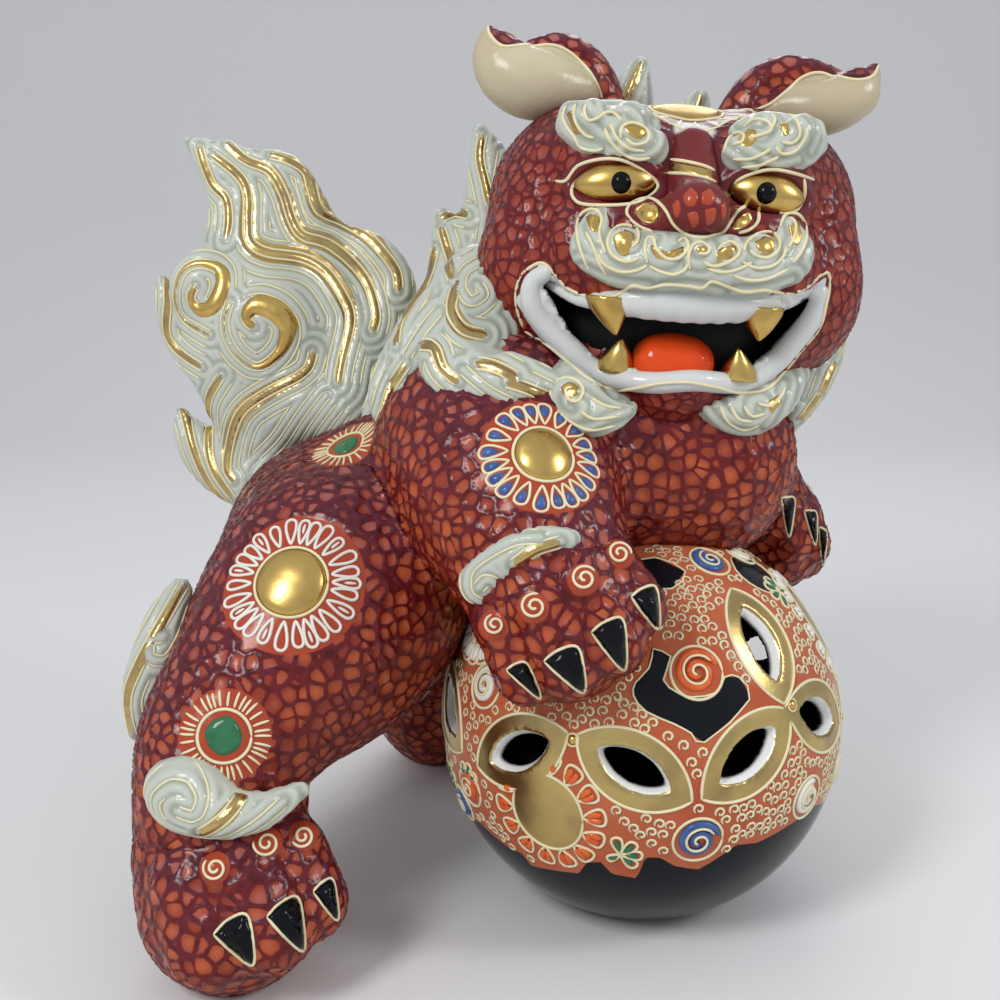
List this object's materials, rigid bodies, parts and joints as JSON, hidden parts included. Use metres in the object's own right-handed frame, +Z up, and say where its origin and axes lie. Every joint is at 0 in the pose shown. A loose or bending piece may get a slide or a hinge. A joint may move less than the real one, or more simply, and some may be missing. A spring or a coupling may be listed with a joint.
{
  "type": "shisa lion statue",
  "caption": "Glazed ceramic guardian lion in a wide stance, mouth open, with one forepaw on an openwork ball and a flame-shaped curled tail.",
  "frame": {"origin": "centre of the bounding box at table height", "axes": "+Z up, the lion's face looks along -Y, its rump is towards -X, its own right side is towards the viewer"},
  "size_m": [0.2527, 0.2214, 0.2899],
  "materials": {
    "scaled_skin": "gloss maroon network over orange-red pebble cells",
    "celadon_mane": "gloss celadon white with raised cream lines and gold bands",
    "gold_lustre": "polished gold lustre over glaze",
    "black_glaze": "gloss black",
    "white_glaze": "gloss white",
    "ivory_glaze": "satin ivory",
    "orange_glaze": "gloss orange",
    "ball_ground": "gloss salmon ground with raised cream slip, gold leaves and coloured spirals"
  },
  "bodies": {
    "root": {"ball_upper": "ball_ground", "ball_lower": "black_glaze", "torso": "scaled_skin", "head": "scaled_skin", "lips": "white_glaze", "moustache": "celadon_mane", "nose": "scaled_skin", "eye_right": "gold_lustre", "eye_left": "gold_lustre", "brow_right": "celadon_mane", "brow_left": "celadon_mane", "ear_right": "ivory_glaze", "ear_left": "ivory_glaze", "forehead_disc": "gold_lustre", "fangs_upper": "gold_lustre", "fangs_lower": "gold_lustre", "tongue": "orange_glaze", "beard_right": "celadon_mane", "beard_left": "celadon_mane", "mane_crown": "celadon_mane", "mane_right": "celadon_mane", "mane_left": "celadon_mane", "mane_back": "celadon_mane", "foreleg_right": "scaled_skin", "foreleg_left": "scaled_skin", "forepaw_right": "scaled_skin", "forepaw_left": "scaled_skin", "hindleg_right": "scaled_skin", "hindleg_left": "scaled_skin", "hindpaw_right": "scaled_skin", "hindpaw_left": "scaled_skin", "claws_forepaw_right": "black_glaze", "claws_forepaw_left": "black_glaze", "claws_hindpaw_right": "black_glaze", "claws_hindpaw_left": "black_glaze", "wrist_tuft_right": "celadon_mane", "wrist_tuft_left": "celadon_mane", "hock_tuft_right": "celadon_mane", "hock_tuft_left": "celadon_mane", "ankle_tuft_right": "celadon_mane", "ankle_tuft_left": "celadon_mane", "tail": "celadon_mane", "tail_curl_upper": "gold_lustre", "tail_curl_lower": "gold_lustre"}
  },
  "joints": []
}
